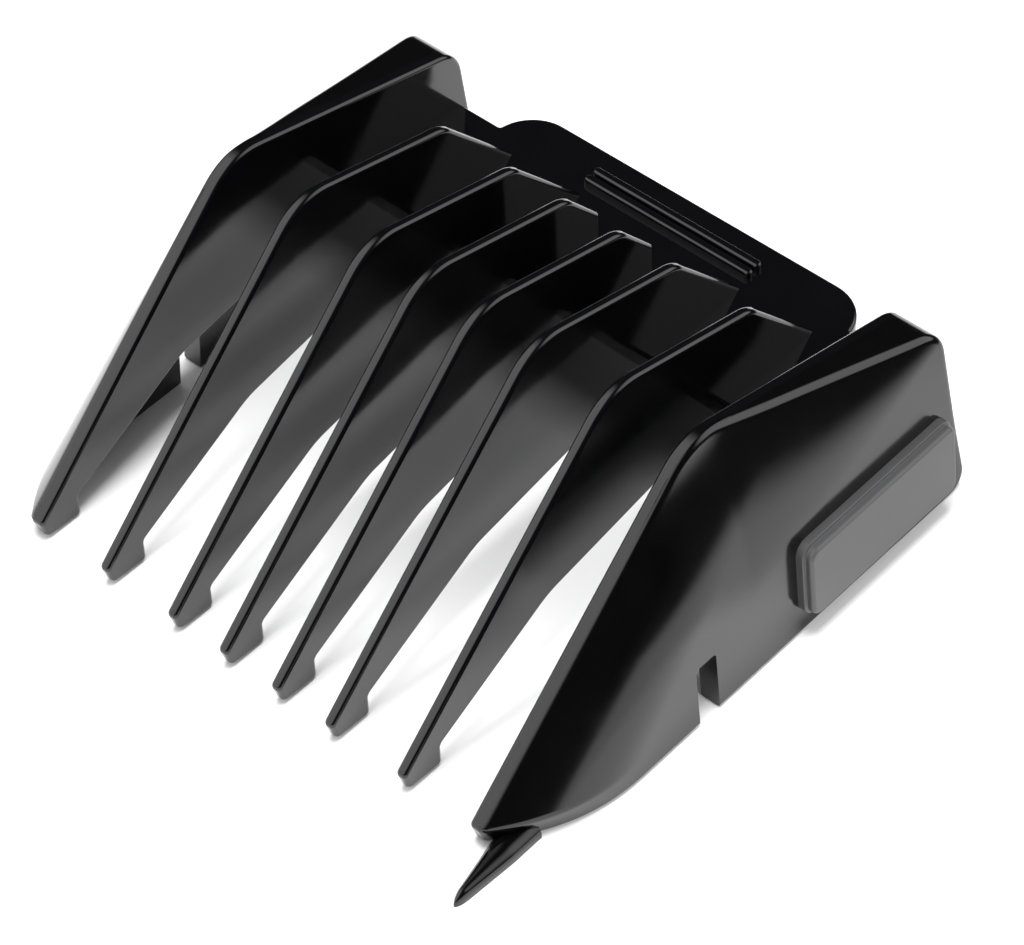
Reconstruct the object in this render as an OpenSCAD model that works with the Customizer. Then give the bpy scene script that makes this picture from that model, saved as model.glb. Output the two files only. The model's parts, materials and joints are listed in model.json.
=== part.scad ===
// Guide comb that clips onto the head of a hair clipper.
// X runs across the comb, Y from the tooth tips (-) to the thumb tab (+), Z up.
// The comb stands on its hooks and on the lower edges of its two side skirts, at Z = 0.
// Distances along the comb are measured from the tooth tips, and the whole is centred at the end.

/* [Overall] */
// Width across the two skirts, at their lower edges
comb_w = 52; // [43:0.1:64]
// Length from the tooth tips to the rear edge of the thumb tab
comb_l = 48.3; // [40:0.05:60]
// Height of the teeth at the shoulder
comb_h = 22.3; // [18.5:0.05:28]

/* [Teeth] */
// How far the edge teeth stand in from the skirts' outer faces
edge_inset = 4.55; // [4:0.05:6]
// Pitch of the four teeth nearest the middle
inner_pitch = 5.05; // [4.2:0.01:6.2]
// Thickness of a tooth
tooth_t = 0.9; // [0.7:0.01:1.2]
// Height of a tip's rounded nose above the floor
tip_h = 1.9; // [1.4:0.05:2.6]
// Length of the hook under a tip
hook_l = 3.8; // [2.6:0.05:5]
// Depth of the barb behind the hook
hook_h = 2; // [1.2:0.05:2.6]
// Radius of the barb's two corners
hook_r = 0.45; // [0.2:0.05:0.5]
// Radius of the tip's nose
nose_r = 0.5; // [0.2:0.05:0.6]
// Distance from the tips to the shoulder
shoulder_y = 21.8; // [18:0.05:26.5]
// Angle at which the upper slope falls towards the rear
upper_slope = 14.4; // [10:0.1:18]
// Distance from the crest to the tab's bending line
crest_back = 7.7; // [6:0.05:10]
// Distance from the tips to the bend of the underside
bend_y = 15; // [12:0.1:18]
// How far the bend of the underside lies below the deck
bend_drop = 1.8; // [1:0.1:2.4]
// Distance from the ends of the two middle teeth to the tab's bending line
middle_gap = 4.45; // [3:0.05:5.5]

/* [Deck] */
// Height of the deck's upper face
deck_z = 11; // [10:0.05:13.2]
// Thickness of the deck
deck_t = 1.6; // [1.3:0.05:2]
// Distance from the deck's front edge to the tab's bending line
deck_l = 10.35; // [8:0.05:12.5]
// How far the thumb tab stands out behind the deck's outer ends
tab_overhang = 3.1; // [2:0.05:3.6]

/* [Thumb tab] */
// Distance from each end of the tab to the edge tooth beside it
tab_margin = 3.85; // [3:0.05:6]
// Thickness of the thumb tab
tab_t = 1.4; // [1:0.05:1.6]
// Length of the tab behind its bending line
tab_l = 3.95; // [3.7:0.05:4.8]
// Radius of the tab's two rear corners
tab_corner_r = 3.6; // [1:0.05:3.65]
// Clearance round the bending line
tab_gap = 0.05; // [0.03:0.01:0.1]
// Gap at each end of the tab
tab_side_gap = 0.15; // [0.1:0.05:0.6]
// Length of each thumb ridge
ridge_l = 15.8; // [8:0.1:20]
// Width of each thumb ridge
ridge_w = 0.8; // [0.5:0.02:1]
// Height of each thumb ridge
ridge_h = 0.6; // [0.3:0.05:1]
// Space between the two thumb ridges
ridge_space = 0.2; // [0.1:0.05:0.5]
// Length of the catch under the tab
catch_l = 20; // [10:0.5:24]
// Depth of the catch under the tab
catch_h = 1.1; // [0.6:0.05:1.6]
// Thickness of the catch from front to rear
catch_t = 1.2; // [0.8:0.05:1.6]

/* [Side walls] */
// Thickness of a skirt
skirt_t = 1.7; // [1.2:0.05:2.1]
// Sideways draft of a skirt for each unit of height
skirt_draft = 0.08; // [0.04:0.005:0.1]
// Distance over which the cheek rounds into the skirt
cheek_l = 11.2; // [8:0.1:13]
// Height over which the skirt rounds in below the shoulder
crown_l = 14; // [11:0.1:17]
// Lean of the wall's rear edge from upright
rear_lean = 7.5; // [5:0.1:11]
// Radius of the wall's upper rear corner
rear_top_r = 3; // [1:0.1:3.5]
// Radius of the wall's lower rear corner
rear_foot_r = 1.6; // [1:0.1:2]
// Distance from the wall's rear foot to the thumb tab's rear edge
foot_back = 0.9; // [0.6:0.05:1.5]
// Thickness of the roof over the pocket behind the cheek
roof_t = 1.5; // [1.2:0.05:2]
// Distance from the tips to the notch in a skirt
notch_y = 17.6; // [14.5:0.1:19]
// Width of the notch
notch_w = 2.1; // [1.2:0.05:2.6]
// Height of the notch
notch_h = 5.5; // [4:0.1:6.6]

/* [Label pads] */
// Length of a raised pad
pad_l = 16.6; // [12:0.1:20]
// Height of a raised pad
pad_h = 6.7; // [5:0.1:8.5]
// How far a pad stands out of its skirt
pad_t = 1.25; // [0.6:0.05:1.5]
// Radius of a pad's corners
pad_r = 1.1; // [0.6:0.05:2]
// Distance from a pad to the skirt's rear edge
pad_rear_gap = 1.2; // [0.8:0.05:2]
// Distance from a pad to the skirt's lower edge
pad_low_gap = 2; // [1:0.05:3]

/* [Prong] */
// How far the prong stands out in front of the tips
prong_l = 4.6; // [2:0.1:6]
// Width of the prong at its root
prong_w = 2; // [1.4:0.05:2.6]
// Height of the prong
prong_h = 1.2; // [0.8:0.05:1.6]

/* [Hidden] */
plastic = "#1c1c1f";
big = 200;

// Places across the comb
wall_x = comb_w / 2 - edge_inset;                  // outer face of an edge tooth
edge_x = wall_x - tooth_t / 2;                     // middle of an edge tooth
outer_pitch = (edge_x - 1.5 * inner_pitch) / 2;    // pitch of the teeth nearer the walls
tab_w = 2 * (wall_x - tooth_t - tab_margin);

// Places along the comb and up it
bend_line = [0, comb_l - tab_l, deck_z - tab_t / 2];  // line about which the tab bends
groove_r = tab_t / 2 + tab_gap;
lip_y = bend_line.y - sqrt(pow(groove_r, 2) - pow(tab_t / 2, 2));
deck_low = deck_z - deck_t;
deck_front = bend_line.y - deck_l;
deck_rear = comb_l - tab_overhang;
front_run = shoulder_y / (comb_h - tip_h);         // front slope, distance for each unit of height
upper_fall = tan(upper_slope);
crest_y = bend_line.y - crest_back;
root_y = lip_y - 0.5;                              // the outer teeth's roots end short of the groove
root_run = (root_y - crest_y) / (upper_z(crest_y) - deck_z);
middle_y = bend_line.y - middle_gap;
rear_foot = comb_l - foot_back;                    // a wall's rear edge at the floor
rear_top = (rear_foot - tan(rear_lean) * upper_z(0)) / (1 - tan(rear_lean) * upper_fall);
nose_back = 0.45;                                  // how far the nose leans back for each unit of height
edge_step = 0.25;                                  // least thickness of a cheek at its front
rear_wall_t = 1.5;

// The middle of the box round the comb is the origin
centring = [0, -(comb_l - prong_l) / 2, 0];

// Height of the upper slope's line
function upper_z(y) = comb_h - (y - shoulder_y) * upper_fall;
// Distance of the rear edge's line from the tips
function rear_y(z) = rear_foot - tan(rear_lean) * z;
// Distance of the front edge from the tips, on the front slope and below it on the nose
function front_y(z) = z < tip_h ? nose_back * (tip_h - z) : (z - tip_h) * front_run;
function share(v) = min(1, max(0, v));

// Skirt's outer face: a drafted plane that rounds in to the edge tooth towards the front slope
// (cheek), and towards the upper slope (crown), less deep and less high the further back it is
function cheek(d) = 1 - pow(1 - share(d / cheek_l), 2.3);
function along(y) = share((y - shoulder_y - 2) / (rear_top - shoulder_y - 2));
function crown(y, z) = 1 - (1 - along(y))
    * pow(1 - share((upper_z(y) - z) / (crown_l * (1.05 - along(y)))), 2);
function skin_x(y, z) = wall_x + edge_step
    + (edge_inset - edge_step - skirt_draft * z) * cheek(y - front_y(z)) * crown(y, z);

// Corner b of the outline a-b-c turned into an arc of radius r
function arc_corner(a, b, c, r) = let (
        u = (a - b) / norm(a - b), v = (c - b) / norm(c - b),
        half = acos(u * v) / 2,
        middle = b + (u + v) / norm(u + v) * r / sin(half),
        p = b + u * r / tan(half) - middle, q = b + v * r / tan(half) - middle,
        from = atan2(p.y, p.x), turn = atan2(p.x * q.y - p.y * q.x, p * q),
        steps = max(2, ceil(abs(turn) / 12)))
    [for (i = [0 : steps]) middle + r * [cos(from + turn * i / steps), sin(from + turn * i / steps)]];
// Outline whose corners [y, z, radius] are rounded where the radius isn't 0
function rounded(corners) = let (n = len(corners)) [for (i = [0 : n - 1])
    let (a = corners[(i + n - 1) % n], b = corners[i], c = corners[(i + 1) % n])
    each b[2] > 0 ? arc_corner([a.x, a.y], [b.x, b.y], [c.x, c.y], b[2]) : [[b.x, b.y]]];

// A side outline given in [y, z], standing between x = from and x = from + thick
module side_plate(outline, from, thick) {
    translate([from, 0, 0]) rotate([90, 0, 90]) linear_extrude(thick) polygon(outline);
}

// Corners shared by every tooth: the underside from the deck to the hook, then the nose
function under_corners() = [
    [deck_front, deck_low, 0],
    [bend_y + 0.6 * (deck_front - bend_y), deck_low, 3],
    [bend_y, deck_low - bend_drop, 6],
    [hook_l, hook_h, hook_r],
    [hook_l, 0, hook_r],
    [0.5 * tip_h * nose_back + 0.1, 0.2, nose_r],
    [0, tip_h, nose_r]];
function shoulder_corner() = [shoulder_y, comb_h, 5];

// Free tooth whose rear end stands on the deck
module tooth(x, to_root) {
    end_z = upper_z(crest_y) - (middle_y - crest_y) / root_run;
    rear = to_root ? [[root_y, deck_z, 0]] : [[middle_y, end_z, 0.3], [middle_y, deck_z, 0]];
    outline = rounded(concat(under_corners(), [shoulder_corner(), [crest_y, upper_z(crest_y), 3]],
        rear, [[deck_front, deck_z, 0]]));
    color(plastic) side_plate(outline, x - tooth_t / 2, tooth_t);
}
module tooth_n(n) {
    m = n - 3.5;
    inner = min(abs(m), 1.5);
    tooth(sign(m) * (inner * inner_pitch + (abs(m) - inner) * outer_pitch), abs(m) > 1);
}

// Edge tooth: the thin inner face of a side wall, from its hook to the wall's rear edge
module edge_tooth(side) {
    outline = rounded(concat(under_corners(), [shoulder_corner(),
        [rear_top, upper_z(rear_top), rear_top_r], [rear_y(deck_low), deck_low, 0.4]]));
    color(plastic) side_plate(outline, side > 0 ? edge_x - tooth_t / 2 : -wall_x, tooth_t);
}

// Solid between x = back and the skirt's outer face moved by offset, past the wall on every side
module skin_block(back, offset) {
    depths = [-1, 0, 0.5, 1, 1.5, 2, 2.5, 3, 3.5, 4, 5, 6, 7, 8, 9, 10, 12, 14, 16, 18, 20, 23, 26,
        30, 34, 38, 42, 46, 50, 60, 70];
    heights = [for (i = [-1 : 24]) i * (comb_h + 1) / 23];
    m = len(depths) - 1;
    n = len(heights) - 1;
    lean = function(d, z) (z - tip_h) * front_run + d;
    skin = [for (d = depths) for (z = heights)
        [max(back + 0.3, skin_x(lean(d, z), z) + offset), lean(d, z), z]];
    low = (m + 1) * (n + 1);
    backs = [for (d = [depths[0], depths[m]]) for (z = [heights[0], heights[n]]) [back, lean(d, z), z]];
    at = function(i, j) i * (n + 1) + j;
    cells = [for (i = [0 : m - 1]) for (j = [0 : n - 1])
        each [[at(i, j), at(i, j + 1), at(i + 1, j + 1)], [at(i, j), at(i + 1, j + 1), at(i + 1, j)]]];
    ends = [[low, low + 2, low + 3, low + 1],
        [at(0, 0), low, low + 1, for (j = [n : -1 : 1]) at(0, j)],
        [low + 2, for (j = [0 : n]) at(m, j), low + 3],
        [low, for (i = [0 : m]) at(i, 0), low + 2],
        [low + 1, low + 3, for (i = [m : -1 : 0]) at(i, n)]];
    polyhedron(concat(skin, backs), concat(cells, ends));
}

// Right cheek without its notch: everything between the edge tooth and the skirt's outer face
module cheek_body() {
    outline = rounded([[nose_back * tip_h, 0, 0.3], [0, tip_h, 0.3], shoulder_corner(),
        [rear_top, upper_z(rear_top), rear_top_r], [rear_foot, 0, rear_foot_r]]);
    intersection() {
        side_plate(outline, wall_x, big);
        skin_block(wall_x - 1, 0);
    }
}

// Pocket between the edge tooth and the skirt, open below
module pocket() {
    front = edge_step + 2;
    top_z = (comb_h + upper_fall * (shoulder_y - front + tip_h * front_run) - roof_t)
        / (1 + upper_fall * front_run);
    side_plate([[front - (1 + tip_h) * front_run, -1], [rear_y(-1) - rear_wall_t, -1],
        [rear_y(upper_z(rear_top)) - rear_wall_t, upper_z(rear_top) - roof_t],
        [(top_z - tip_h) * front_run + front, top_z]], wall_x - 1, big);
}

// Cheek and skirt: the outer half of a side wall
module cheek_part(side) {
    color(plastic) mirror([side > 0 ? 0 : 1, 0, 0]) difference() {
        cheek_body();
        intersection() {
            pocket();
            skin_block(wall_x - 2, -skirt_t);
        }
        translate([wall_x + 0.6, notch_y, -1]) cube([big, notch_w, notch_h + 1]);
    }
}

// Raised pad on the skirt, with a plain face
module pad(side) {
    low = pad_low_gap;
    rear = rear_y(low + pad_h) - pad_rear_gap;
    outline = rounded([[rear - pad_l, low, pad_r], [rear, low, pad_r],
        [rear, low + pad_h, pad_r], [rear - pad_l, low + pad_h, pad_r]]);
    color(plastic) mirror([side > 0 ? 0 : 1, 0, 0]) difference() {
        intersection() {
            side_plate(outline, wall_x, big);
            rotate([0, -atan(skirt_draft), 0]) cube([comb_w / 2 + pad_t, big, big]);
        }
        skin_block(wall_x - 1, 0);
    }
}

// Deck that joins the teeth's roots, with the groove in which the tab bends
module deck() {
    inner_x = wall_x - tooth_t;
    color(plastic) difference() {
        translate([-inner_x, deck_front, deck_low]) cube([2 * inner_x, deck_rear - deck_front, deck_t]);
        translate([-tab_w / 2 - tab_side_gap, lip_y, deck_low - 1])
            cube([tab_w + 2 * tab_side_gap, big, deck_t + 2]);
        translate([-tab_w / 2 - tab_side_gap, bend_line.y, bend_line.z]) rotate([0, 90, 0])
            cylinder(h = tab_w + 2 * tab_side_gap, r = groove_r, $fn = 48);
    }
}

// Thumb tab behind the deck, with a half-round front edge
module thumb_tab() {
    color(plastic) {
        difference() {
            translate([-tab_w / 2, bend_line.y, deck_z - tab_t]) cube([tab_w, tab_l, tab_t]);
            for (side = [-1, 1]) translate([side * (tab_w / 2 - tab_corner_r), comb_l - tab_corner_r, 0])
                corner_cutter(side);
        }
        translate([-tab_w / 2, bend_line.y, bend_line.z]) rotate([0, 90, 0])
            cylinder(h = tab_w, r = tab_t / 2, $fn = 48);
    }
}
// What is outside a rear corner of the tab
module corner_cutter(side) {
    difference() {
        translate([side > 0 ? 0 : -big, 0, 0]) cube([big, big, big]);
        translate([0, 0, -1]) cylinder(h = big + 2, r = tab_corner_r, $fn = 64);
    }
}

// Thumb ridge with round ends, whose front edge is at y
module ridge(y) {
    r = ridge_w / 2;
    color(plastic) translate([0, y + r, deck_z]) linear_extrude(ridge_h) {
        square([ridge_l - ridge_w, ridge_w], center = true);
        for (side = [-1, 1]) translate([side * (ridge_l / 2 - r), 0]) circle(r, $fn = 32);
    }
}
module front_ridge() { ridge(bend_line.y + 0.1); }
module rear_ridge() { ridge(bend_line.y + 0.1 + ridge_w + ridge_space); }

// Catch under the tab that snaps over the rear of the clipper's head
module tab_catch() {
    rear = comb_l - 0.6;
    z = deck_z - tab_t;
    outline = rounded([[rear - catch_t - catch_h / 2, z, 0], [rear, z, 0],
        [rear - 0.2, z - catch_h, 0.2], [rear - catch_t, z - catch_h, 0.3]]);
    color(plastic) side_plate(outline, -catch_l / 2, catch_l);
}

// Short prong that points forward from the foot of the right cheek
module tip_prong() {
    tip_x = wall_x + 2;
    outline = [[tip_x - 0.3, -prong_l], [tip_x + 0.3, -prong_l],
        [tip_x + 0.6, 0.5], [tip_x + 0.6, 4.5], [tip_x + 0.6 - prong_w, 4.5], [tip_x + 0.5 - prong_w, 1]];
    color(plastic) difference() {
        linear_extrude(prong_h) polygon(outline);
        cheek_body();
        skin_block(wall_x - 8, 0);
    }
}

module centred() { translate(centring) children(); }

centred() deck();
centred() tooth_n(1);  // tooth_1
centred() tooth_n(2);  // tooth_2
centred() tooth_n(3);  // tooth_3
centred() tooth_n(4);  // tooth_4
centred() tooth_n(5);  // tooth_5
centred() tooth_n(6);  // tooth_6
centred() edge_tooth(-1);  // edge_tooth_left
centred() edge_tooth(1);  // edge_tooth_right
centred() cheek_part(-1);  // cheek_left
centred() cheek_part(1);  // cheek_right
centred() pad(-1);  // pad_left
centred() pad(1);  // pad_right
centred() thumb_tab();
centred() front_ridge();
centred() rear_ridge();
centred() tab_catch();
centred() tip_prong();
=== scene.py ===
"""Looks of a hair clipper's guide comb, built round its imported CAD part.

Sizes are in millimetres until a mesh is made. X runs across the comb, Y from the tooth tips to the thumb tab
and Z up. Distances along the comb are measured from the tooth tips, as in the CAD part.
"""
import json
import math

import bmesh
import bpy
import numpy as np
from mathutils import Matrix, Vector


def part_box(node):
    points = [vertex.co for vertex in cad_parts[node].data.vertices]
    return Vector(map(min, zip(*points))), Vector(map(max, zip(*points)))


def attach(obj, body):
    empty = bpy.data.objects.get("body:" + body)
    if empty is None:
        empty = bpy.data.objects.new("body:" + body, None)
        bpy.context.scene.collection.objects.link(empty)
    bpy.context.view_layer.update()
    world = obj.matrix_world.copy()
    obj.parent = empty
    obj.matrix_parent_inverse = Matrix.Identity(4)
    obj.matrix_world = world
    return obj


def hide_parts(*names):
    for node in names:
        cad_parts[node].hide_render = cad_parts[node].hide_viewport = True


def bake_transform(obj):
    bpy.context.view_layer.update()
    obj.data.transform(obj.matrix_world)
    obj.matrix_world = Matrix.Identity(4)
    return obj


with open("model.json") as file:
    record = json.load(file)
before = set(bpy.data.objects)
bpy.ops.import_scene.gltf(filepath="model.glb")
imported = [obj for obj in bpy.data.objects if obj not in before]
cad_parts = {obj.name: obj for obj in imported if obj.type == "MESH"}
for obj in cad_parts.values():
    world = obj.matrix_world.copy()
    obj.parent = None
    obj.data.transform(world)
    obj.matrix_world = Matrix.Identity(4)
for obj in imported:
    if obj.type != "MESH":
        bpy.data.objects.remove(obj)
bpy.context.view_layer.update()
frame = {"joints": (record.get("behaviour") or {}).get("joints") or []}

MM = 0.001
COMB, TAB = "comb", "release_tab"   # the two CAD bodies


# ---- Sizes ----------------------------------------------------------------------------------------------

def box_mm(node):
    """Lowest and highest corner of a CAD node, in millimetres."""
    low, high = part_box(node)
    return np.array(low) / MM, np.array(high) / MM


# Read from the CAD part
TIPS_Y = box_mm("tooth_1")[0][1]
TOOTH_T = box_mm("tooth_1")[1][0] - box_mm("tooth_1")[0][0]
WALL_X = box_mm("edge_tooth_right")[1][0]
DECK_LOW, DECK_Z = box_mm("deck")[0][2], box_mm("deck")[1][2]
DECK_FRONT, DECK_REAR = box_mm("deck")[0][1] - TIPS_Y, box_mm("deck")[1][1] - TIPS_Y
DECK_X = box_mm("deck")[1][0]
TAB_X = box_mm("thumb_tab")[1][0]
COMB_L = box_mm("thumb_tab")[1][1] - TIPS_Y
BEND_Y = frame["joints"][0]["pos_m"][1] / MM - TIPS_Y

# The same driving sizes as the CAD part's
HALF_W = 26.0         # half the width across the two skirts, at their lower edges
COMB_H = 22.3         # where the front slope's line meets the upper slope's
SHOULDER_Y = 21.8
TIP_H = 1.9
HOOK_L, HOOK_H = 3.8, 2.0
HOOK_R, NOSE_R = 0.45, 0.5
NOSE_BACK = 0.45      # how far the nose leans back for each millimetre below TIP_H
UPPER_FALL = math.tan(math.radians(14.4))
SHOULDER_R, CREST_R = 5.0, 3.0
CREST_Y = BEND_Y - 7.7
MIDDLE_Y = BEND_Y - 4.45
MIDDLE_RUN = 0.88     # how far the two middle teeth run back for each millimetre that they fall
MIDDLE_R = 0.45       # where they turn upright
ARCH_Y, ARCH_DROP, ARCH_R = 15.0, 1.8, 6.0
EDGE_STEP = 0.25      # from the edge tooth's outer face to the skin where the cheek starts
SKIRT_T, SKIRT_DRAFT = 1.7, 0.08
CHEEK_L, CHEEK_POWER = 11.2, 2.3
CROWN_L, CROWN_START, CROWN_REACH = 14.0, 2.0, 1.05
REAR_LEAN = math.tan(math.radians(7.5))
REAR_TOP_R, REAR_FOOT_R, FOOT_BACK = 3.0, 1.6, 0.9
REAR_WALL_T, ROOF_T = 1.5, 1.5
NOTCH_Y, NOTCH_W, NOTCH_H = 17.6, 2.1, 5.5
PAD_L, PAD_H, PAD_T, PAD_R = 16.6, 6.7, 1.25, 1.1
PAD_REAR_GAP, PAD_LOW_GAP = 1.2, 2.0
TAB_R = 3.6

# Radii that the mould leaves on the edges
TOOTH_EDGE = 0.36
DECK_EDGE = 0.3
RIDGE_EDGE = 0.26
CATCH_EDGE = 0.15
CHEEK_EDGE, CHEEK_EDGE_MORE = 0.24, 0.25             # at the front, and what is added further back and up
MORE_FROM, MORE_RUN, MORE_RISE = 14.0, 12.0, 8.0     # where that starts, and over what length and height

# Where one piece runs into another, out of sight
ROOT_SUNK, FOOT_SUNK = 0.3, 1.0                      # depths of a tooth's root and foot in the deck
RIDGE_SUNK, CATCH_SUNK = 0.2, 0.2                    # depths of a ridge and of the catch in the tab
INTO_WALL = 0.5                                      # the deck's ends in the side walls
HIDDEN_R = 0.4                                       # radius of hidden corners, more than the edges have

# The strip along the tab's root that bends
BAND_FROM, BAND_STEP, BANDS = 3.2, 0.2, 18           # first cut in front of the hinge line, step and number

# What follows from them
FRONT_RUN = SHOULDER_Y / (COMB_H - TIP_H)            # how far the front slope runs back for each mm up
REAR_FOOT = COMB_L - FOOT_BACK                       # where the rear edge's line meets the ground


def upper_z(y):
    """Height of the upper slope's line."""
    return COMB_H - (y - SHOULDER_Y) * UPPER_FALL


REAR_TOP = (REAR_FOOT - REAR_LEAN * upper_z(0)) / (1 - REAR_LEAN * UPPER_FALL)


def rear_y(z):
    """Distance of a side wall's leaning rear edge from the tips."""
    return REAR_FOOT - REAR_LEAN * z


def share(v):
    """v kept from 0 to 1."""
    return np.clip(v, 0, 1)


def ease(v):
    """Smooth step: 3 v squared less 2 v cubed, with v kept from 0 to 1."""
    v = share(v)
    return v * v * (3 - 2 * v)


def skin_x(y, z):
    """Outer face of the right skirt. A drafted plane rounds in to the edge tooth towards the front slope as
    one less a power of the distance left (the cheek), and towards the upper slope as one less a square (the
    crown). The crown's depth and height both shrink towards the rear, so its edge keeps about one slope."""
    front = np.where(z < TIP_H, NOSE_BACK * (TIP_H - z), (z - TIP_H) * FRONT_RUN)
    cheek = 1 - (1 - share((y - front) / CHEEK_L)) ** CHEEK_POWER
    along = share((y - SHOULDER_Y - CROWN_START) / (REAR_TOP - SHOULDER_Y - CROWN_START))
    crown = 1 - (1 - along) * (1 - share((upper_z(y) - z) / (CROWN_L * (CROWN_REACH - along)))) ** 2
    reach = HALF_W - WALL_X - EDGE_STEP - SKIRT_DRAFT * z
    return WALL_X + EDGE_STEP + reach * cheek * crown


# ---- Shapes ---------------------------------------------------------------------------------------------

def rounded(corners, steps=10):
    """Closed outline whose corners [p, q, radius] become arcs that touch both of their sides. An arc's centre
    lies on the corner's bisector at radius / sin(half the angle). Gives points and their outward normals."""
    corners = np.array(corners, float)
    at, radius = corners[:, :2], corners[:, 2]
    before = np.roll(at, 1, 0) - at
    after = np.roll(at, -1, 0) - at
    before /= np.linalg.norm(before, axis=1, keepdims=True)
    after /= np.linalg.norm(after, axis=1, keepdims=True)
    half = np.arccos(np.clip((before * after).sum(1), -1, 1)) / 2
    middle = before + after
    middle /= np.linalg.norm(middle, axis=1, keepdims=True)
    centre = at + middle * (radius / np.sin(half))[:, None]
    reach = (radius / np.tan(half))[:, None]
    first, last = at + before * reach - centre, at + after * reach - centre
    start = np.arctan2(first[:, 1], first[:, 0])
    turn = np.arctan2(last[:, 1], last[:, 0]) - start
    turn = (turn + np.pi) % (2 * np.pi) - np.pi
    angle = start[:, None] + turn[:, None] * np.linspace(0, 1, steps + 1)
    out = np.stack([np.cos(angle), np.sin(angle)], -1)
    points = centre[:, None] + radius[:, None, None] * out
    nxt = np.roll(at, -1, 0)
    area_sign = np.sign((at[:, 0] * nxt[:, 1] - nxt[:, 0] * at[:, 1]).sum())
    normals = out * np.sign(turn * area_sign)[:, None, None]
    return points.reshape(-1, 2), normals.reshape(-1, 2)


def placed(axis, across, flat):
    """Points whose flat outline stands across X, as a tooth's does, or lies across Z, as the deck's does."""
    across = np.broadcast_to(np.asarray(across, float), flat.shape[:-1])
    if axis == "x":
        return np.stack([across, flat[..., 0], flat[..., 1]], -1)
    return np.stack([flat[..., 0], flat[..., 1], across], -1)


def volume_sign(points, faces):
    """Sign of the closed form's volume, the sum over fans of triangles of a . (b x c)."""
    total = 0.0
    for f in faces:
        a, b, c = points[f[:, 0]][:, None], points[f[:, 1:-1]], points[f[:, 2:]]
        total += (a * np.cross(b, c)).sum()
    return np.sign(total)


def new_piece(name, points, faces, material, normals=None, mirrored=False):
    """A mesh object at the origin from points in millimetres and arrays of faces, each array with faces of
    one corner count. Faces are turned outwards. normals has one normal for each face corner, by array."""
    points = points + np.array([0, TIPS_Y, 0])
    if mirrored:
        points = points * np.array([-1, 1, 1])
    if volume_sign(points, faces) < 0:
        faces = [f[:, ::-1] for f in faces]
        normals = None if normals is None else [n[:, ::-1] for n in normals]
    mesh = bpy.data.meshes.new(name)
    mesh.from_pydata((points * MM).tolist(), [], [row for f in faces for row in f.tolist()])
    mesh.polygons.foreach_set("use_smooth", np.ones(len(mesh.polygons), bool))
    if normals is not None:
        flat = np.concatenate([n.reshape(-1, 3) for n in normals])
        if mirrored:
            flat = flat * np.array([-1, 1, 1])
        mesh.normals_split_custom_set(flat.tolist())
    mesh.materials.append(material)
    piece = bpy.data.objects.new(name, mesh)
    bpy.context.scene.collection.objects.link(piece)
    return piece


def ring_faces(rings, count):
    """Quads between neighbouring closed rings of count points, and caps on the first and the last ring."""
    i, j = np.meshgrid(np.arange(rings - 1), np.arange(count), indexing="ij")
    nxt = (j + 1) % count
    quads = np.stack([i * count + j, i * count + nxt, (i + 1) * count + nxt, (i + 1) * count + j], -1)
    caps = np.stack([np.arange(count)[::-1], (rings - 1) * count + np.arange(count)])
    return quads.reshape(-1, 4), caps


def grid_faces(rows, cols):
    """Quads between the points of a grid, and its border points in order round it."""
    index = np.arange(rows * cols).reshape(rows, cols)
    quads = np.stack([index[:-1, :-1], index[:-1, 1:], index[1:, 1:], index[1:, :-1]], -1).reshape(-1, 4)
    border = np.concatenate([index[:-1, 0], index[-1, :-1], index[:0:-1, -1], index[0, :0:-1]])
    return quads, border


def ringed_form(name, rings, normals, material, mirrored, low_face, high_face):
    """Closed form from rings of points with their normals, and two flat caps with one normal each."""
    m, n = rings.shape[:2]
    quads, caps = ring_faces(m, n)
    cap_normals = np.stack([np.tile(low_face, (n, 1)), np.tile(high_face, (n, 1))])
    return new_piece(name, rings.reshape(-1, 3), [quads, caps], material,
                     [normals.reshape(-1, 3)[quads], cap_normals], mirrored)


def plate(name, axis, corners, low, high, low_r, high_r, material, steps=10, mirrored=False):
    """Flat plate of the rounded outline, from low to high across it. Each edge rolls over as a quarter
    circle: where the outline has moved in by r (1 - sin t), the surface is r (1 - cos t) short of the face,
    for t from 0 to 90 degrees."""
    flat, out = rounded(corners, steps)
    rings, normals = [], []
    for level, r, way in ((low, low_r, -1), (high, high_r, 1)):
        turn = np.linspace(0, np.pi / 2, 7) if r else np.array([np.pi / 2])
        turn = turn[::-way]
        moved = flat - (r * (1 - np.sin(turn)))[:, None, None] * out
        rings.append(placed(axis, (level - way * r * (1 - np.cos(turn)))[:, None], moved))
        normals.append(placed(axis, (way * np.cos(turn))[:, None], np.sin(turn)[:, None, None] * out))
    face = placed(axis, 1.0, np.zeros(2))
    return ringed_form(name, np.concatenate(rings), np.concatenate(normals), material, mirrored, -face, face)


def resampled(points, normals, count):
    """count points at equal steps along an open line, with its normals."""
    run = np.concatenate([[0], np.cumsum(np.linalg.norm(np.diff(points, axis=0), axis=1))])
    t = np.linspace(0, run[-1], count)
    line = np.stack([np.interp(t, run, points[:, k]) for k in (0, 1)], -1)
    out = np.stack([np.interp(t, run, normals[:, k]) for k in (0, 1)], -1)
    return line, out / np.linalg.norm(out, axis=1, keepdims=True)


def coons(bottom, top, left, right):
    """Patch between four border lines: the sum of the two ruled patches less the bilinear one."""
    u = np.linspace(0, 1, len(bottom))[None, :, None]
    v = np.linspace(0, 1, len(left))[:, None, None]
    ruled = (1 - v) * bottom[None] + v * top[None] + (1 - u) * left[:, None] + u * right[:, None]
    flat = (1 - v) * ((1 - u) * bottom[0] + u * bottom[-1]) + v * ((1 - u) * top[0] + u * top[-1])
    return ruled - flat


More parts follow.
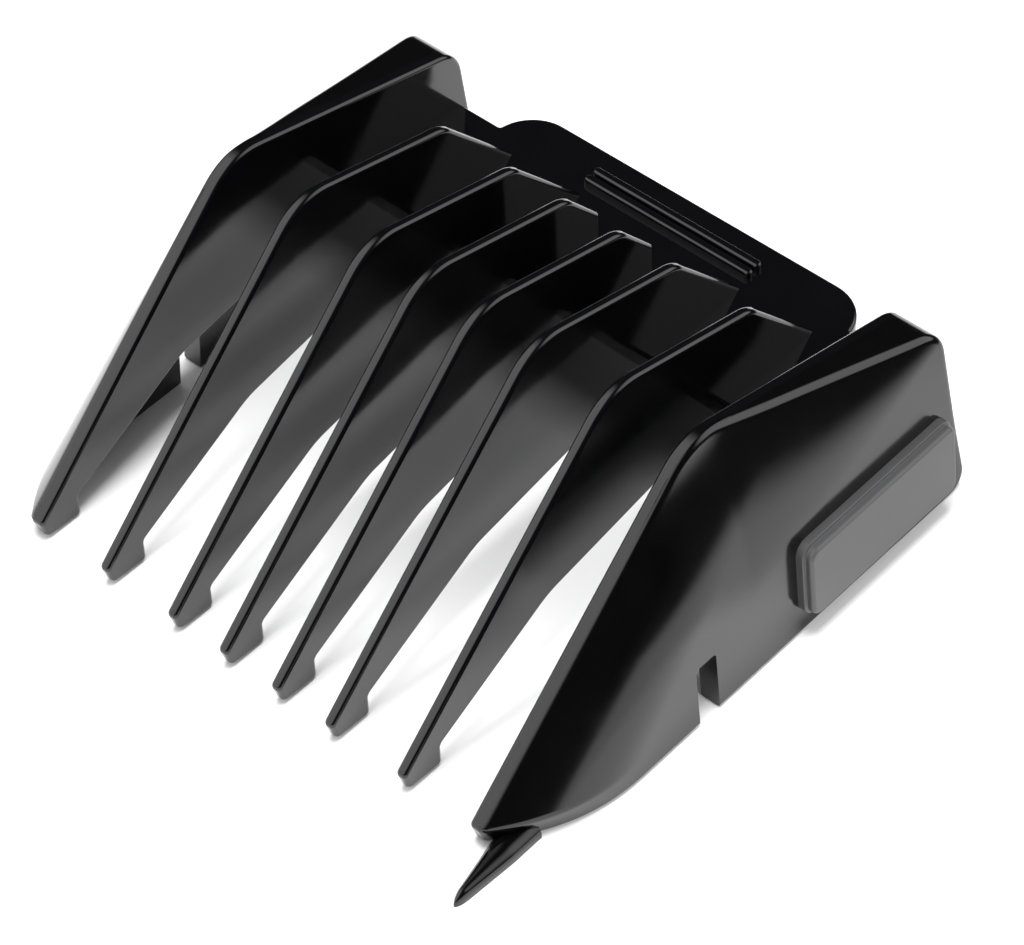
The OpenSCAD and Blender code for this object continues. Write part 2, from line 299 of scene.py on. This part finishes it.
def cut_away(piece, *cutters):
    """Cuts the cutters out of the piece, and removes them."""
    for c in cutters:
        m = piece.modifiers.new(c.name, "BOOLEAN")
        m.operation = "DIFFERENCE"
        m.object = c
        m.solver = "EXACT"
    graph = bpy.context.evaluated_depsgraph_get()
    cut = bpy.data.meshes.new_from_object(piece.evaluated_get(graph))
    piece.modifiers.clear()
    piece.data = cut
    for c in cutters:
        bpy.data.objects.remove(c)


def smooth_by_area(piece, sharp_from=32, area_weight=60):
    """Smooth shading that leaves edges over sharp_from degrees sharp and keeps large flat faces flat."""
    piece.data.polygons.foreach_set("use_smooth", np.ones(len(piece.data.polygons), bool))
    piece.data.set_sharp_from_angle(angle=math.radians(sharp_from))
    weighted = piece.modifiers.new("flat_faces_stay_flat", "WEIGHTED_NORMAL")
    weighted.keep_sharp = True
    weighted.weight = area_weight


# ---- Pieces ---------------------------------------------------------------------------------------------

def shown(piece, body, slot, *nodes):
    """The piece rides on the body and stands for the nodes, which are hidden. The slot is not used."""
    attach(piece, body)
    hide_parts(*nodes)


# Corners [y, z, radius] of a tooth, from the deck's front edge forward under the arch, round the hook and the
# nose and up to the shoulder. An edge tooth leaves out the first.
UNDER = [
    [DECK_FRONT - 0.4, DECK_LOW, 1.6],
    [ARCH_Y + 0.6 * (DECK_FRONT - ARCH_Y), DECK_LOW, 3],
    [ARCH_Y, DECK_LOW - ARCH_DROP, ARCH_R],
    [HOOK_L, HOOK_H, HOOK_R],
    [HOOK_L, 0, HOOK_R],
    [0.5 * TIP_H * NOSE_BACK + 0.1, 0.2, NOSE_R],
    [0, TIP_H, NOSE_R],
    [SHOULDER_Y, COMB_H, SHOULDER_R]]


def free_tooth(number):
    """Free tooth: a plate whose edges are rounded, from its hook over the shoulder and the crest to the deck.
    The two middle teeth end short and upright, and the others run down to their roots."""
    low, high = box_mm(f"tooth_{number}")
    crest = [[CREST_Y, upper_z(CREST_Y), CREST_R]]
    if number in (3, 4):
        rear = [[MIDDLE_Y, upper_z(CREST_Y) - (MIDDLE_Y - CREST_Y) / MIDDLE_RUN, MIDDLE_R],
                [MIDDLE_Y, DECK_Z - FOOT_SUNK, HIDDEN_R]]
    else:
        root_y = high[1] - TIPS_Y
        run = (root_y - CREST_Y) / (upper_z(CREST_Y) - DECK_Z)
        back = root_y + ROOT_SUNK * run
        rear = [[back, DECK_Z - ROOT_SUNK, HIDDEN_R], [back, DECK_Z - FOOT_SUNK, HIDDEN_R]]
    foot = [[DECK_FRONT + 0.8, DECK_Z - FOOT_SUNK, 1]]
    piece = plate(f"free_tooth_{number}", "x", UNDER + crest + rear + foot, low[0], high[0],
                  TOOTH_EDGE, TOOTH_EDGE, abs_gloss)
    shown(piece, COMB, "comb_plastic", f"tooth_{number}")


def edge_tooth(side, name):
    """Edge tooth: the thin inner plate of a side wall. Its inner edge is rounded, and its outer face lies
    flush against the cheek, so that the two read as one moulding."""
    corners = UNDER[1:] + [
        [REAR_TOP, upper_z(REAR_TOP), REAR_TOP_R],
        [rear_y(DECK_LOW), DECK_LOW, HIDDEN_R]]
    piece = plate(f"{name}_wall_tooth", "x", corners, WALL_X - TOOTH_T, WALL_X, TOOTH_EDGE, 0, abs_gloss,
                  mirrored=side < 0)
    shown(piece, COMB, "comb_plastic", f"edge_tooth_{name}")


def cheek_blank(name):
    """Right cheek before its cuts. The outer face is a Coons patch over the wall's side outline, set out to
    skin_x. At its border it rolls over, dropping by r (1 - cos t) where it is r (1 - sin t) from the outline,
    and a straight rim joins it to the flat back on the edge tooth."""
    steps = 16
    flat, out = rounded([*UNDER[-3:], [REAR_TOP, upper_z(REAR_TOP), REAR_TOP_R],
                         [REAR_FOOT, 0, REAR_FOOT_R]], steps)
    flat, out = np.roll(flat, -steps // 2, 0), np.roll(out, -steps // 2, 0)
    block = steps + 1
    cuts = [0, 2 * block, 3 * block, 4 * block, len(flat)]     # nose foot, shoulder, rear top, rear foot
    closed, closed_out = np.concatenate([flat, flat[:1]]), np.concatenate([out, out[:1]])
    counts = [91, 81, 91, 81]                                   # front, upper, rear and lower sides
    sides = [resampled(closed[a:b + 1], closed_out[a:b + 1], n) for a, b, n in zip(cuts, cuts[1:], counts)]
    line = np.concatenate([s[0][:-1] for s in sides])
    normal = np.concatenate([s[1][:-1] for s in sides])
    more = ease((line[:, 0] - MORE_FROM) / MORE_RUN) * ease(line[:, 1] / MORE_RISE)
    radius = CHEEK_EDGE + CHEEK_EDGE_MORE * more
    inner = line - radius[:, None] * normal
    ends = np.cumsum([0] + [n - 1 for n in counts])
    loop = np.concatenate([inner, inner[:1]])
    front, upper, rear, lower = (loop[a:b + 1] for a, b in zip(ends, ends[1:]))
    patch = coons(lower[::-1], upper, front, rear[::-1])
    surface = placed("x", skin_x(patch[..., 0], patch[..., 1]), patch).reshape(-1, 3)
    cells, border = grid_faces(*patch.shape[:2])
    turn = np.linspace(0, np.pi / 2, 8)[1:]
    moved = line - (radius * (1 - np.sin(turn))[:, None])[..., None] * normal
    drop = radius * (1 - np.cos(turn))[:, None]
    roll = placed("x", skin_x(moved[..., 0], moved[..., 1]) - drop, moved)
    rim = placed("x", WALL_X, line[None])
    rings = np.concatenate([roll, rim])
    count = len(line)
    ring_index = len(surface) + np.arange(len(rings) * count).reshape(len(rings), count)
    ring_index = np.concatenate([border[None], ring_index])
    nxt = np.roll(ring_index, -1, 1)
    strips = np.stack([ring_index[:-1], nxt[:-1], nxt[1:], ring_index[1:]], -1).reshape(-1, 4)
    back = ring_index[-1][None]
    points = np.concatenate([surface, rings.reshape(-1, 3)])
    return new_piece(name, points, [cells, strips, back], abs_wall)


def pocket_cutter(name):
    """Space between the edge tooth and the skirt, open below: a bilinear patch set out to the skirt's inner
    face, and the same patch at a plane inside the edge tooth."""
    front, below = EDGE_STEP + 2, -1
    roof = COMB_H + UPPER_FALL * (SHOULDER_Y - front + TIP_H * FRONT_RUN) - ROOF_T
    top_z = roof / (1 + UPPER_FALL * FRONT_RUN)
    high = upper_z(REAR_TOP) - ROOF_T
    a = np.array([front - (1 + TIP_H) * FRONT_RUN, below])
    b = np.array([rear_y(below) - REAR_WALL_T, below])
    c = np.array([rear_y(high + ROOF_T) - REAR_WALL_T, high])
    d = np.array([(top_z - TIP_H) * FRONT_RUN + front, top_z])
    u, v = np.linspace(0, 1, 70)[None, :, None], np.linspace(0, 1, 40)[:, None, None]
    patch = (1 - v) * ((1 - u) * a + u * b) + v * ((1 - u) * d + u * c)
    rows, cols = patch.shape[:2]
    outer = np.maximum(skin_x(patch[..., 0], patch[..., 1]) - SKIRT_T, WALL_X - 0.5)
    points = np.concatenate([placed("x", outer, patch).reshape(-1, 3),
                             placed("x", WALL_X - 1, patch).reshape(-1, 3)])
    cells, border = grid_faces(rows, cols)
    nxt = np.roll(border, -1)
    deep = rows * cols
    sides = np.stack([border, nxt, nxt + deep, border + deep], -1)
    return new_piece(name, points, [cells, cells[:, ::-1] + deep, sides], abs_wall)


def notch_cutter(name):
    """Notch in a skirt's lower edge, with two small radii at its top."""
    below, top_r = -1, 0.35
    corners = [[NOTCH_Y, below, 0.1], [NOTCH_Y + NOTCH_W, below, 0.1],
               [NOTCH_Y + NOTCH_W, NOTCH_H, top_r], [NOTCH_Y, NOTCH_H, top_r]]
    return plate(name, "x", corners, WALL_X + 0.6, HALF_W + 3, 0, 0, abs_wall, steps=6)


def cheek(side, name):
    """Cheek and skirt: the blank less the pocket and the notch. Edges that the cuts leave stay sharp."""
    piece = cheek_blank(f"{name}_cheek")
    cut_away(piece, pocket_cutter("pocket_cutter"), notch_cutter("notch_cutter"))
    if side < 0:
        piece.data.transform(Matrix.Scale(-1, 4, Vector((1, 0, 0))))
        piece.data.flip_normals()
    smooth_by_area(piece)
    shown(piece, COMB, "wall_plastic", f"cheek_{name}")


def pad(side, name):
    """Raised label pad with a plain face. A profile of distance out from the outline and height above the
    drafted plane is carried round the outline: up from the skirt, a step, and a rounded upper edge."""
    low = PAD_LOW_GAP
    rear = rear_y(low + PAD_H) - PAD_REAR_GAP
    flat, out = rounded([[rear - PAD_L, low, PAD_R], [rear, low, PAD_R],
                         [rear, low + PAD_H, PAD_R], [rear - PAD_L, low + PAD_H, PAD_R]], 14)
    step_h, step_w, step_fall, inside, sunk, face_r = 0.6, 0.22, 0.06, 0.7, 0.6, 0.3
    steps = 6
    profile, lean = rounded([[-inside, -sunk, 0.02], [0, -sunk, 0.02], [0, step_h, 0.09],
                             [-step_w, step_h + step_fall, 0.05], [-step_w, PAD_T, face_r],
                             [-inside - step_w, PAD_T, 0.02]], steps)
    outer = slice(steps + 1, -steps - 1)                       # all but the two inner corners
    profile, lean = profile[outer], lean[outer]
    moved = flat[None] + profile[:, None, :1] * out[None]
    height = HALF_W - SKIRT_DRAFT * moved[..., 1] + profile[:, None, 1]
    rings = placed("x", height, moved)
    normals = placed("x", np.broadcast_to(lean[:, None, 1], height.shape), lean[:, None, :1] * out[None])
    normals[..., 2] += SKIRT_DRAFT * lean[:, None, 1]
    normals /= np.linalg.norm(normals, axis=-1, keepdims=True)
    face = np.array([1, 0, SKIRT_DRAFT]) / math.hypot(1, SKIRT_DRAFT)
    piece = ringed_form(f"{name}_label_pad", rings, normals, abs_satin, side < 0, -face, face)
    shown(piece, COMB, "pad_plastic", f"pad_{name}")


def deck_and_tab():
    """Deck and thumb tab in one plate, as they are moulded. Its faces are cut across along the tab's root,
    where the real tab bends.
    """
    start = math.radians(12)                                   # where the tab's corner leaves the deck
    cx, cy = TAB_X - TAB_R, COMB_L - TAB_R
    x0, y0 = cx + TAB_R * math.cos(start), cy + TAB_R * math.sin(start)
    lean = math.tan(start)
    end_x = DECK_X + INTO_WALL
    half = [[end_x, DECK_FRONT, HIDDEN_R], [end_x, DECK_REAR, HIDDEN_R],
            [x0 + (y0 - DECK_REAR) * lean, DECK_REAR, 0.2], [x0 - (COMB_L - y0) * lean, COMB_L, TAB_R]]
    other = [[-x, y, r] for x, y, r in half[::-1]]
    piece = plate("deck_and_tab", "z", half + other, DECK_LOW, DECK_Z, DECK_EDGE, DECK_EDGE, abs_gloss,
                  steps=14)
    cut_bands(piece, [BEND_Y - BAND_FROM + BAND_STEP * k for k in range(BANDS)])
    smooth_by_area(piece)
    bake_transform(piece)
    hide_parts("deck", "thumb_tab")


def cut_bands(piece, ys):
    """Cuts the plate's faces across at each y, so that it can bend there. The plate's own normals don't fit
    the new corners and are dropped."""
    form = bmesh.new()
    form.from_mesh(piece.data)
    for y in ys:
        bmesh.ops.bisect_plane(form, geom=form.verts[:] + form.edges[:] + form.faces[:], dist=1e-7,
                               plane_co=(0, (y + TIPS_Y) * MM, 0), plane_no=(0, 1, 0))
    form.to_mesh(piece.data)
    form.free()
    if piece.data.has_custom_normals:
        with bpy.context.temp_override(object=piece, active_object=piece):
            bpy.ops.mesh.customdata_custom_splitnormals_clear()


def ridge(name, node):
    """Thumb ridge: a low bar with round ends and a rolled upper edge."""
    low, high = box_mm(node)
    r = (high[1] - low[1]) / 2 - 0.01                          # a hair less than a half round
    x, y0, y1 = high[0], low[1] - TIPS_Y, high[1] - TIPS_Y
    corners = [[-x, y0, r], [x, y0, r], [x, y1, r], [-x, y1, r]]
    piece = plate(name, "z", corners, DECK_Z - RIDGE_SUNK, high[2], 0, RIDGE_EDGE, abs_gloss)
    shown(piece, TAB, "comb_plastic", node)


def tab_catch():
    """Catch under the tab: a bar with a sloping front that snaps over the rear of the clipper's head."""
    low, high = box_mm("tab_catch")
    y0, y1 = low[1] - TIPS_Y, high[1] - TIPS_Y
    z0, z1 = low[2], high[2]
    lead, back_lean, top = 0.5 * (z1 - z0), 0.1, z1 + CATCH_SUNK
    corners = [[y0, top, 0.05], [y1, top, 0.05], [y1 - back_lean, z0, 0.2], [y0 + lead, z0, 0.3]]
    piece = plate("tab_catch_bar", "x", corners, low[0], high[0], CATCH_EDGE, CATCH_EDGE, abs_gloss)
    shown(piece, TAB, "comb_plastic", "tab_catch")


def prong():
    """Prong at the foot of the right cheek: a blade whose upper side is arched. Along its length v the
    middle line, half width and height follow straight and rounded tapers. Across it the surface is a half
    ellipse over the angle t from 0 to 180 degrees, and it stands on a flat foot."""
    low, high = box_mm("tip_prong")
    tip_x, tip_y, root_y, height = WALL_X + 2, low[1] - TIPS_Y, 3.4, high[2]
    tip_half, more_right, more_left, taper_l = 0.3, 0.3, 1.2, 5.2
    tip_height, side_height, pinch, blunt = 0.72, 0.35, 0.12, 0.04      # shares of the full height or width
    v = np.concatenate([1 - np.cos(np.linspace(0, np.pi / 2, 12)), np.linspace(1.3, 7.9, 24)])
    y = tip_y + v * (root_y - tip_y) / v[-1]
    end = np.maximum(np.sqrt(share(1 - (1 - share(v)) ** 2)), blunt)
    grow = share(v / taper_l)
    right = tip_x + tip_half + more_right * grow
    left = tip_x - tip_half - more_left * grow
    middle, half = (left + right) / 2, (right - left) / 2 * end
    tall = height * (tip_height + (1 - tip_height) * grow) * end
    t = np.linspace(0, np.pi, 25)
    x = middle[:, None] + half[:, None] * np.cos(t) * (1 - pinch * np.sin(t))
    z = tall[:, None] * (side_height + (1 - side_height) * np.sin(t))
    rim = np.stack([x, np.broadcast_to(y[:, None], x.shape), z], -1)
    foot = rim[:, [-1, 0]] * np.array([1, 1, 0])
    rings = np.concatenate([rim, foot], 1)
    piece = new_piece("foot_prong", rings.reshape(-1, 3), ring_faces(*rings.shape[:2]), abs_wall)
    smooth_by_area(piece)
    shown(piece, COMB, "wall_plastic", "tip_prong")


# ---- Materials ------------------------------------------------------------------------------------------

def linear(hex_colour):
    """sRGB hex colour as linear RGBA."""
    srgb = [int(hex_colour[i:i + 2], 16) / 255 for i in (1, 3, 5)]
    return tuple(c / 12.92 if c <= 0.04045 else ((c + 0.055) / 1.055) ** 2.4 for c in srgb) + (1,)


def add(tree, kind, links=None, **settings):
    """Adds a node, sets its inputs and properties by name, and links inputs to other nodes' outputs."""
    node = tree.nodes.new(kind)
    for key, value in settings.items():
        if hasattr(node, key):
            setattr(node, key, value)
        else:
            node.inputs[key.replace("_", " ")].default_value = value
    for socket, source in (links or {}).items():
        tree.links.new(source, node.inputs[socket])
    return node


def black_abs(name, deep, worn, roughness, spread, grain, grain_mm, wave):
    """Moulded black ABS. The colour wanders between two near tones over a few millimetres, and the roughness
    varies with it. The surface has a grain of grain_mm, grain deep, and a slow wave from shrinking, wave
    deep, in millimetres. The real grain is finer, and is drawn this coarse so that it shows."""
    drift_mm, wave_mm = 4, 7
    material = bpy.data.materials.new(name)
    material.use_nodes = True
    tree = material.node_tree
    shader = tree.nodes["Principled BSDF"]
    place = add(tree, "ShaderNodeTexCoord").outputs["Object"]
    drift = add(tree, "ShaderNodeTexNoise", {"Vector": place}, Scale=1 / (drift_mm * MM), Detail=3.0,
                Roughness=0.55)
    tone = add(tree, "ShaderNodeMix", {0: drift.outputs["Fac"]}, data_type="RGBA")
    tone.inputs[6].default_value, tone.inputs[7].default_value = linear(deep), linear(worn)
    tree.links.new(tone.outputs[2], shader.inputs["Base Color"])
    rough = add(tree, "ShaderNodeMapRange", {"Value": drift.outputs["Fac"]}, From_Min=0.25, From_Max=0.75,
                To_Min=roughness, To_Max=roughness + spread)
    tree.links.new(rough.outputs[0], shader.inputs["Roughness"])
    fine = add(tree, "ShaderNodeTexNoise", {"Vector": place}, Scale=1 / (grain_mm * MM), Detail=2.0)
    slow = add(tree, "ShaderNodeTexNoise", {"Vector": place}, Scale=1 / (wave_mm * MM), Detail=1.0)
    low_bump = add(tree, "ShaderNodeBump", {"Height": slow.outputs["Fac"]}, Strength=1.0, Distance=wave * MM)
    bump = add(tree, "ShaderNodeBump", {"Height": fine.outputs["Fac"], "Normal": low_bump.outputs[0]},
               Strength=1.0, Distance=grain * MM)
    tree.links.new(bump.outputs[0], shader.inputs["Normal"])
    shader.inputs["IOR"].default_value = 1.52
    return material


# ABS from a polished mould: near black with clear reflections
abs_gloss = black_abs("ABS moulded gloss", "#050506", "#08080a", roughness=0.07, spread=0.05,
                      grain=0.0006, grain_mm=0.16, wave=0.006)
# ABS from the mould's outer faces: the same with a slightly softer shine
abs_wall = black_abs("ABS moulded outer face", "#030303", "#050506", roughness=0.11, spread=0.05,
                     grain=0.0008, grain_mm=0.18, wave=0.008)
# ABS from an eroded patch of the mould: a satin face that looks dark grey
abs_satin = black_abs("ABS moulded satin", "#404041", "#474748", roughness=0.34, spread=0.08,
                      grain=0.0025, grain_mm=0.2, wave=0.004)


# ---- Studio ---------------------------------------------------------------------------------------------

ABOVE_POWER, RIGHT_POWER = 2.3, 0.22                 # watts
DOME, ROOM = 0.75, 0.018                             # even world light, and what reflections see instead
FRONT_GLOW = ((-0.45, -0.62, 0.64), 0.42, 0.80, 1.95)   # direction, cosines where dark and full, strength
REAR_GLOW = ((0.55, 0.72, 0.42), 0.80, 0.95, 1.9)
DARK_REFLECTION_SIDE = (0.8, 0.6, 0.0)                          # level direction of the floor's side that reflections see painted dark, a painted dark reflection
DARK_REFLECTION_NEAR, DARK_REFLECTION_OUT, FAR = (27, 35, 0.25), (46, 70, 0.97), (90, 260, 0.95)   # start and end in millimetres, and depth, of the floor's painted dark reflections: near the right wall, further right, and far out


def fade(tree, value, start, end, depth):
    """One less a smooth step of the given depth, as the value goes from start to end in millimetres."""
    return add(tree, "ShaderNodeMapRange", {"Value": value}, interpolation_type="SMOOTHSTEP",
               From_Min=start * MM, From_Max=end * MM, To_Min=1.0, To_Max=1.0 - depth).outputs[0]


def product(tree, one, other):
    """One value times the other."""
    return add(tree, "ShaderNodeMath", {0: one, 1: other}, operation="MULTIPLY").outputs[0]


def pale_floor():
    """Large plain pale sheet, just below the surface that the comb stands on. Camera and lamp light see it
    evenly pale.
    Reflections see its colour painted dark further out and on its right side: painted dark reflections, with
    no room or flag there."""
    mesh = bpy.data.meshes.new("pale_floor")
    size, drop = 3.0, 0.02 * MM
    mesh.from_pydata([(-size, -size, -drop), (size, -size, -drop), (size, size, -drop), (-size, size, -drop)],
                     [], [(0, 1, 2, 3)])
    material = bpy.data.materials.new("Card white matt, dark painted reflections")
    material.use_nodes = True
    tree = material.node_tree
    shader = tree.nodes["Principled BSDF"]
    place = add(tree, "ShaderNodeTexCoord").outputs["Object"]
    far = add(tree, "ShaderNodeVectorMath", {0: place}, operation="LENGTH").outputs["Value"]
    right = add(tree, "ShaderNodeVectorMath", {0: place}, operation="DOT_PRODUCT")
    right.inputs[1].default_value = DARK_REFLECTION_SIDE
    right = right.outputs["Value"]
    # painted dark reflection: glossy rays see the floor's colour darkened on the right side and far out, the
    # camera and lamps see it evenly pale
    painted_dark_side = product(tree, fade(tree, right, *DARK_REFLECTION_NEAR), fade(tree, right, *DARK_REFLECTION_OUT))
    mirrored = add(tree, "ShaderNodeLightPath").outputs["Is Glossy Ray"]
    shade = add(tree, "ShaderNodeMix", {0: mirrored, 3: product(tree, painted_dark_side, fade(tree, far, *FAR))},
                data_type="FLOAT")
    shade.inputs[2].default_value = 1.0
    tone = add(tree, "ShaderNodeMix", {0: shade.outputs[0]}, data_type="RGBA")
    # black is the painted dark reflection, #f4f4f4 the floor's own pale colour
    tone.inputs[6].default_value, tone.inputs[7].default_value = linear("#000000"), linear("#f4f4f4")
    tree.links.new(tone.outputs[2], shader.inputs["Base Color"])
    shader.inputs["Roughness"].default_value = 0.9
    shader.inputs["Specular IOR Level"].default_value = 0.0
    mesh.materials.append(material)
    floor = bpy.data.objects.new("pale_floor", mesh)
    bpy.context.scene.collection.objects.link(floor)


def soft_lamp(name, size, power, place):
    """Square soft lamp that faces the middle of the comb. It stays out of the reflections."""
    data = bpy.data.lights.new(name, "AREA")
    data.size, data.energy = size, power
    light = bpy.data.objects.new(name, data)
    light.location = place
    light.rotation_euler = (-Vector(place)).to_track_quat("-Z", "Y").to_euler()
    light.visible_glossy = False
    bpy.context.scene.collection.objects.link(light)


def glow(tree, direction, dark, full, strength):
    """World light round a direction: it rises smoothly from nothing where the cosine is dark to strength
    where the cosine is full."""
    toward = Vector(direction).normalized()
    view = add(tree, "ShaderNodeTexCoord").outputs["Generated"]
    cosine = add(tree, "ShaderNodeVectorMath", {0: view}, operation="DOT_PRODUCT")
    cosine.inputs[1].default_value = toward
    level = add(tree, "ShaderNodeMapRange", {"Value": cosine.outputs["Value"]},
                interpolation_type="SMOOTHSTEP", From_Min=dark, From_Max=full, To_Min=0.0, To_Max=strength)
    return level.outputs[0]


def studio():
    """Even dome of light on the floor, and two soft lamps. Reflections see a dark room instead of the dome,
    with one wide soft light in front and to the left, and a smaller one behind on the right."""
    world = bpy.data.worlds.new("soft_studio")
    bpy.context.scene.world = world
    world.use_nodes = True
    tree = world.node_tree
    front, rear = glow(tree, *FRONT_GLOW), glow(tree, *REAR_GLOW)
    both = add(tree, "ShaderNodeMath", {0: front, 1: rear}, operation="ADD")
    room = add(tree, "ShaderNodeMath", {0: both.outputs[0]}, operation="ADD")
    room.inputs[1].default_value = ROOM
    mirrored = add(tree, "ShaderNodeLightPath").outputs["Is Glossy Ray"]
    light = add(tree, "ShaderNodeMix", {0: mirrored, 3: room.outputs[0]}, data_type="FLOAT")
    light.inputs[2].default_value = DOME
    tree.nodes["Background"].inputs["Color"].default_value = linear("#ffffff")
    tree.links.new(light.outputs[0], tree.nodes["Background"].inputs["Strength"])
    bpy.context.scene.view_settings.view_transform = "Standard"
    soft_lamp("lamp_above", 0.2, ABOVE_POWER, (0.0, 0.0, 0.42))
    soft_lamp("lamp_right", 0.12, RIGHT_POWER, (0.22, -0.02, 0.16))
    pale_floor()


def camera():
    """Long lens from in front, above and to the right, rolled slightly."""
    azimuth, elevation, roll = math.radians(43.64), math.radians(47.43), math.radians(-2.525)
    distance = 278.9 * MM
    target = Vector((6.77, -1.59, 10.0)) * MM
    data = bpy.data.cameras.new("camera")
    data.sensor_width = 36.0
    data.lens = 141.8
    data.clip_start = 0.01
    eye = bpy.data.objects.new("camera", data)
    back = Vector((math.sin(azimuth) * math.cos(elevation), -math.cos(azimuth) * math.cos(elevation),
                   math.sin(elevation)))
    turn = Matrix.Rotation(azimuth, 4, "Z") @ Matrix.Rotation(math.pi / 2 - elevation, 4, "X")
    eye.matrix_world = Matrix.Translation(target + back * distance) @ turn @ Matrix.Rotation(roll, 4, "Z")
    bpy.context.scene.collection.objects.link(eye)
    bpy.context.scene.camera = eye


camera()
studio()
for tooth_number in range(1, 7):
    free_tooth(tooth_number)
for wall_side, wall_name in ((-1, "left"), (1, "right")):
    edge_tooth(wall_side, wall_name)
    cheek(wall_side, wall_name)
    pad(wall_side, wall_name)
deck_and_tab()
ridge("thumb_ridge_front", "front_ridge")
ridge("thumb_ridge_rear", "rear_ridge")
tab_catch()
prong()
